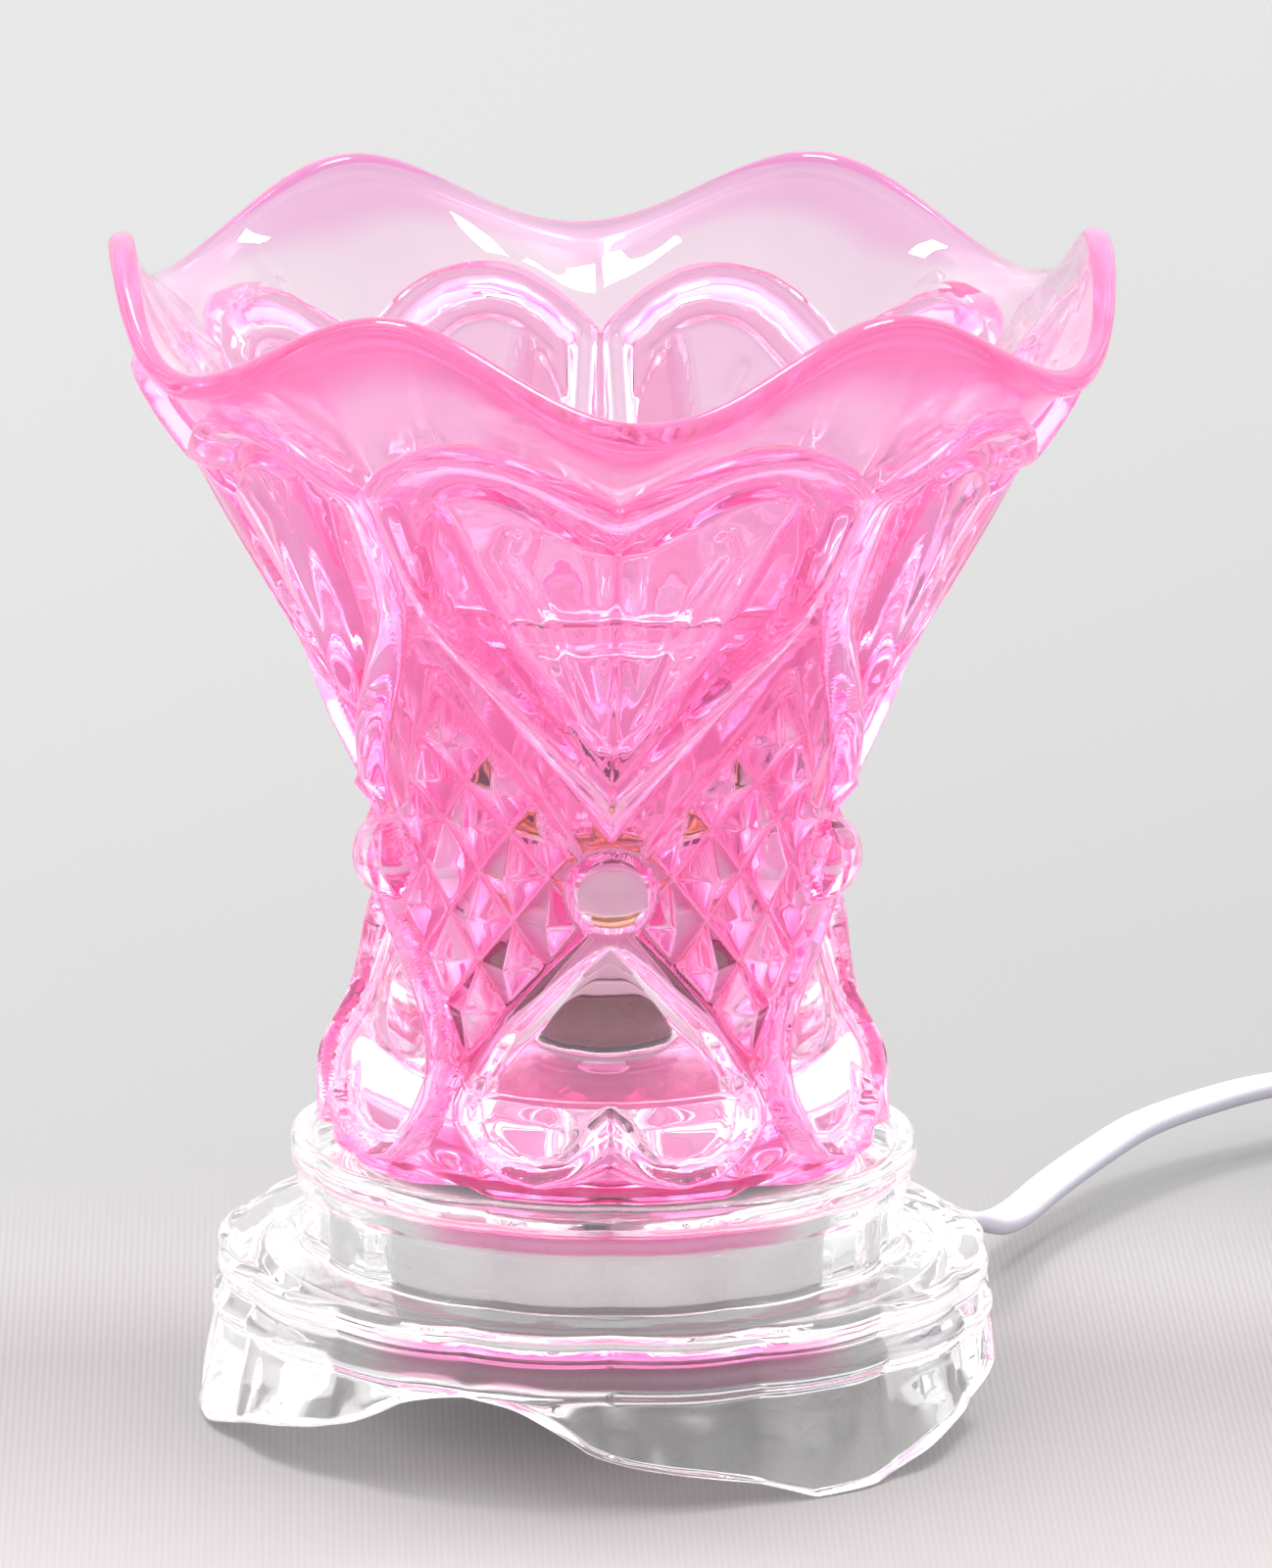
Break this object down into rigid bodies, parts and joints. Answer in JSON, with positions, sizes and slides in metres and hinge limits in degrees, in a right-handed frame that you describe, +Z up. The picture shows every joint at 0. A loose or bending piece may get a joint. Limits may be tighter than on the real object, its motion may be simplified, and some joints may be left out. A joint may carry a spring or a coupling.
{
  "type": "essential oil burner",
  "caption": "Electric fragrance lamp: pressed glass shade with a ruffled rim on a clear footed glass base, a lamp bulb inside, a lift-out oil dish and a flat white cord with dimmer and plug.",
  "frame": {"origin": "on the table, under the middle of the ruffled rim and base, without the free cord", "axes": "+Z up, +Y away from the picture's viewer, +X to the viewer's right; the cord leaves at the back right"},
  "size_m": [0.2466, 0.2253, 0.1644],
  "materials": {
    "clear_glass": "clear pressed glass, fire polished",
    "pink_glass": "clear pressed glass with a pink coat, strongest at the rim",
    "dish_glass": "clear pressed glass",
    "bulb_glass": "thin clear glass",
    "silicone": "translucent silicone",
    "white_metal": "satin white lacquer on sheet metal",
    "black_rubber": "matt",
    "zinc_steel": "zinc plated",
    "phenolic": "brown phenolic moulding",
    "porcelain": "glazed white porcelain",
    "brass": "bright",
    "black_glass": "vitreous insulator",
    "tungsten": "drawn wire",
    "white_flex": "smooth flexible white jacket",
    "white_plastic": "moulded, satin gloss",
    "board": "circuit board laminate"
  },
  "bodies": {
    "burner_body": {"glass_base": "clear_glass", "glass_shade": "pink_glass", "seat_gasket": "silicone", "wiring_cover": "white_metal", "lower_rubber_washer": "silicone", "lower_steel_washer": "zinc_steel", "lower_lock_nut": "zinc_steel", "threaded_tube": "zinc_steel", "upper_rubber_washer": "silicone", "upper_steel_washer": "zinc_steel", "holder_base": "phenolic", "contact_carrier": "porcelain", "holder_sleeve": "porcelain", "screw_shell": "brass", "centre_contact": "brass", "terminal_left": "brass", "terminal_right": "brass", "terminal_screw_left": "zinc_steel", "terminal_screw_right": "zinc_steel", "cord_bushing": "white_flex", "inner_cord": "white_flex", "inner_lead_left": "white_flex", "inner_lead_right": "white_flex", "cord_run_1": "white_flex", "cord_run_2": "white_flex", "cord_run_3": "white_flex", "cord_coil": "white_flex", "coil_tie": "black_rubber", "dimmer_lower_shell": "white_plastic", "dimmer_upper_shell": "white_plastic", "dimmer_board": "board", "dimmer_screw_1": "zinc_steel", "dimmer_screw_2": "zinc_steel", "plug_body": "white_plastic", "plug_blade_1": "brass", "plug_blade_2": "brass"},
    "lamp_bulb": {"bulb_tip": "zinc_steel", "bulb_insulator": "black_glass", "bulb_cap": "brass", "bulb_envelope": "bulb_glass", "bulb_stem": "bulb_glass", "filament_leg_left": "tungsten", "filament_leg_right": "tungsten", "filament_support": "tungsten", "filament": "tungsten"},
    "lift_out_dish": {"oil_dish": "dish_glass"},
    "dimmer_control": {"dimmer_wheel": "white_plastic"}
  },
  "joints": [
    {"name": "bulb_unscrew", "type": "hinge", "parent": "burner_body", "child": "lamp_bulb", "pos_m": [0, 0, 0.07], "axis": [0, 0, 1], "range_deg": [0, 900]},
    {"name": "dish_lift", "type": "slide", "parent": "burner_body", "child": "lift_out_dish", "axis": [0, 0, 1], "range_m": [0, 0.08]},
    {"name": "dimmer_turn", "type": "hinge", "parent": "burner_body", "child": "dimmer_control", "pos_m": [0.163, 0.106, 0.0085], "axis": [0, 0, 1], "range_deg": [0, 270]}
  ]
}
